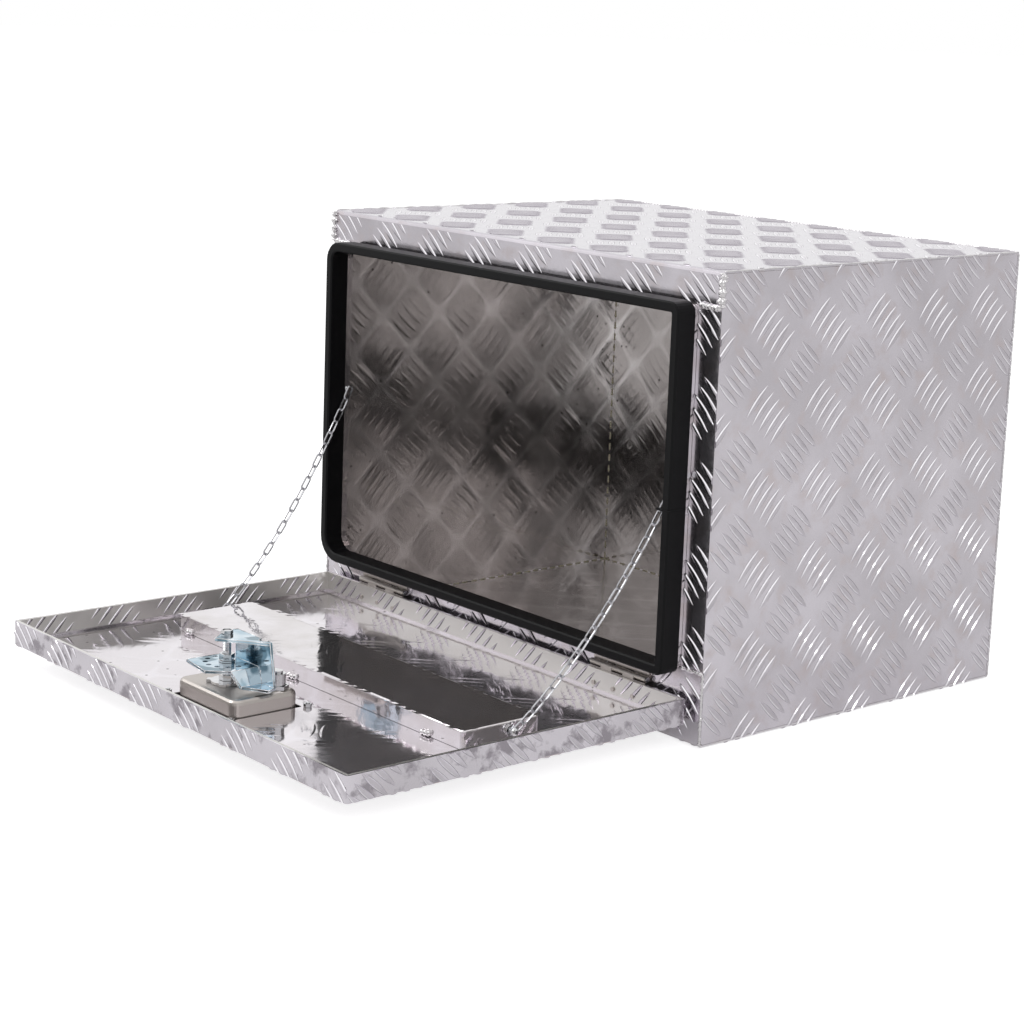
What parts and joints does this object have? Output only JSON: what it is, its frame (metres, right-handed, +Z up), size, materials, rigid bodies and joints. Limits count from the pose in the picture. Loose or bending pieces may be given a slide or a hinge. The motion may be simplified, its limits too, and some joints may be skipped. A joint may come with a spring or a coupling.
{
  "type": "underbody truck tool box",
  "caption": "Sheet-metal truck tool box with a sealed opening, a drop-down door on hinges and chains, and a recessed folding latch.",
  "frame": {"origin": "centre of the box's bottom face", "axes": "+X to the right seen from the door side, -Y towards the door, +Z up"},
  "size_m": [0.61, 0.8374, 0.457],
  "materials": {
    "tread": "bright rolled sheet with a raised tread on its outer face",
    "aluminium": "bright rolled sheet",
    "rubber": "matte black",
    "stainless": "polished stainless steel",
    "zinc": "blue zinc plate",
    "chain": "zinc-plated wire",
    "rivet": "plain"
  },
  "bodies": {
    "box": {"top_panel": "tread", "bottom_panel": "tread", "side_panel_left": "tread", "side_panel_right": "tread", "back_panel": "tread", "opening_collar": "aluminium", "door_seal": "rubber", "hinge_box_leaf_left": "stainless", "hinge_box_leaf_right": "stainless", "hinge_pin_left": "rivet", "hinge_pin_right": "rivet", "chain_box_rivet_left": "zinc", "chain_box_rivet_right": "zinc"},
    "door": {"door_pan": "tread", "hinge_door_leaf_left": "stainless", "hinge_door_leaf_right": "stainless", "stiffener_channel": "aluminium", "latch_pan": "stainless", "latch_gasket": "rubber", "latch_pan_screw_0": "zinc", "latch_pan_screw_1": "zinc", "latch_pan_screw_2": "zinc", "latch_pan_screw_3": "zinc", "latch_pan_nut_0": "zinc", "latch_pan_nut_1": "zinc", "latch_pan_nut_2": "zinc", "latch_pan_nut_3": "zinc", "spindle_ring": "zinc", "spindle_housing_nut": "zinc", "lock_body": "stainless", "lock_nut": "zinc", "chain_door_rivet_left": "zinc", "chain_door_rivet_right": "zinc"},
    "latch": {"latch_spindle": "zinc", "pawl_bracket": "zinc", "pawl_washer_upper": "zinc", "pawl_washer_lower": "zinc", "pawl_nut_upper": "zinc", "pawl_nut_lower": "zinc", "spindle_top_nut": "zinc", "handle_pin": "rivet"},
    "handle": {"t_handle": "stainless"},
    "key_plug": {"lock_plug": "zinc"},
    "chain_left_lower": {"chain_left_lower": "chain"},
    "chain_left_bend": {"chain_left_bend": "chain"},
    "chain_left_upper": {"chain_left_upper": "chain"},
    "chain_right_lower": {"chain_right_lower": "chain"},
    "chain_right_bend": {"chain_right_bend": "chain"},
    "chain_right_upper": {"chain_right_upper": "chain"}
  },
  "joints": [
    {"name": "door_hinge", "type": "hinge", "parent": "box", "child": "door", "pos_m": [0, -0.22, 0.0505], "axis": [-1, 0, 0], "range_deg": [0, 90]},
    {"name": "latch_turn", "type": "hinge", "parent": "door", "child": "latch", "pos_m": [-0.007, -0.547, 0.0406], "axis": [0, 0, -1], "range_deg": [0, 40]},
    {"name": "handle_fold", "type": "hinge", "parent": "latch", "child": "handle", "pos_m": [-0.007, -0.547, 0.0241], "axis": [-1, 0, 0], "range_deg": [0, 90]},
    {"name": "key_turn", "type": "hinge", "parent": "door", "child": "key_plug", "pos_m": [0.036, -0.517, 0.0406], "axis": [0, 0, 1], "range_deg": [0, 90]},
    {"name": "chain_left_foot", "type": "hinge", "parent": "door", "child": "chain_left_lower", "pos_m": [-0.246, -0.398, 0.0331], "axis": [-1, 0, 0], "range_deg": [0, 42]},
    {"name": "chain_left_fold", "type": "hinge", "parent": "chain_left_lower", "child": "chain_left_bend", "pos_m": [-0.25483, -0.31214, 0.12069], "axis": [-1, 0, 0], "range_deg": [-93.5, 0]},
    {"name": "chain_left_turn", "type": "hinge", "parent": "chain_left_bend", "child": "chain_left_upper", "pos_m": [-0.25588, -0.30185, 0.13399], "axis": [-1, 0, 0], "range_deg": [-75, 0]},
    {"name": "chain_right_foot", "type": "hinge", "parent": "door", "child": "chain_right_lower", "pos_m": [0.246, -0.398, 0.0331], "axis": [-1, 0, 0], "range_deg": [0, 42]},
    {"name": "chain_right_fold", "type": "hinge", "parent": "chain_right_lower", "child": "chain_right_bend", "pos_m": [0.25483, -0.31214, 0.12069], "axis": [-1, 0, 0], "range_deg": [-93.5, 0]},
    {"name": "chain_right_turn", "type": "hinge", "parent": "chain_right_bend", "child": "chain_right_upper", "pos_m": [0.25588, -0.30185, 0.13399], "axis": [-1, 0, 0], "range_deg": [-75, 0]}
  ],
  "couplings": [
    {"joint": "chain_left_foot", "follows": "door_hinge", "ratio": 0.46333},
    {"joint": "chain_left_fold", "follows": "door_hinge", "ratio": -1.0332},
    {"joint": "chain_left_turn", "follows": "door_hinge", "ratio": -0.825},
    {"joint": "chain_right_foot", "follows": "door_hinge", "ratio": 0.46333},
    {"joint": "chain_right_fold", "follows": "door_hinge", "ratio": -1.0332},
    {"joint": "chain_right_turn", "follows": "door_hinge", "ratio": -0.825}
  ]
}
